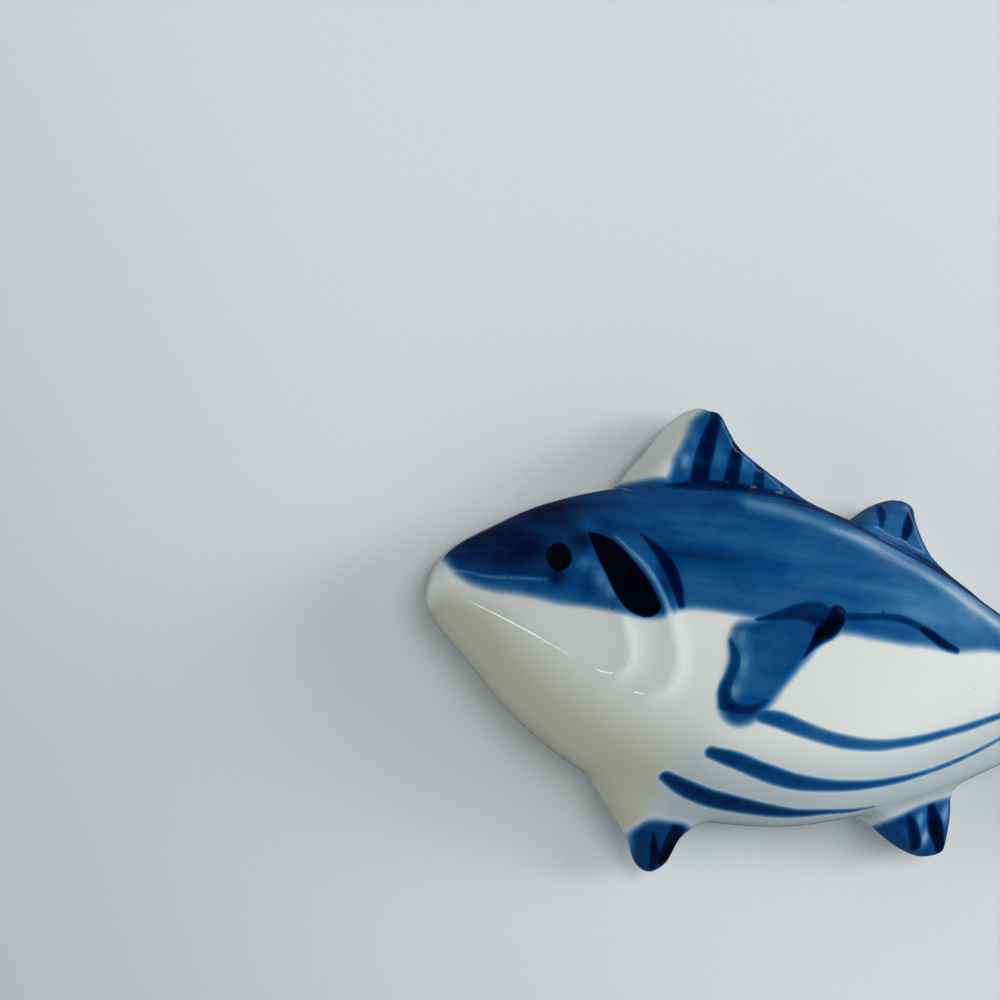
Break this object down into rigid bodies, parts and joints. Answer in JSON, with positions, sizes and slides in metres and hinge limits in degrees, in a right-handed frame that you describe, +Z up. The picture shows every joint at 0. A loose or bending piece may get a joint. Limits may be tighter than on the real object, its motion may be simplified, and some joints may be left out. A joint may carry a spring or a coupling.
{
  "type": "chopstick rest",
  "caption": "Porcelain chopstick rest in the form of a tuna lying on its flank, with fins and raised gill ridges; it lies on a flat foot and keeps stick tips off the table.",
  "frame": {"origin": "on the table, under the middle of the fish's outline", "axes": "+X from the snout to the tail, +Y from the belly to the back, +Z up from the table through the painted flank"},
  "size_m": [0.0644, 0.0374, 0.0133],
  "materials": {
    "white_porcelain": "clear gloss glaze over white porcelain",
    "cobalt_porcelain": "clear gloss glaze over brushed cobalt blue"
  },
  "bodies": {
    "root": {"body": "white_porcelain", "first_dorsal_fin": "cobalt_porcelain", "second_dorsal_fin": "cobalt_porcelain", "pectoral_fin": "cobalt_porcelain", "pelvic_fin": "cobalt_porcelain", "anal_fin": "cobalt_porcelain", "tail_fin": "cobalt_porcelain", "front_gill_ridge": "white_porcelain", "rear_gill_ridge": "white_porcelain"}
  },
  "joints": []
}
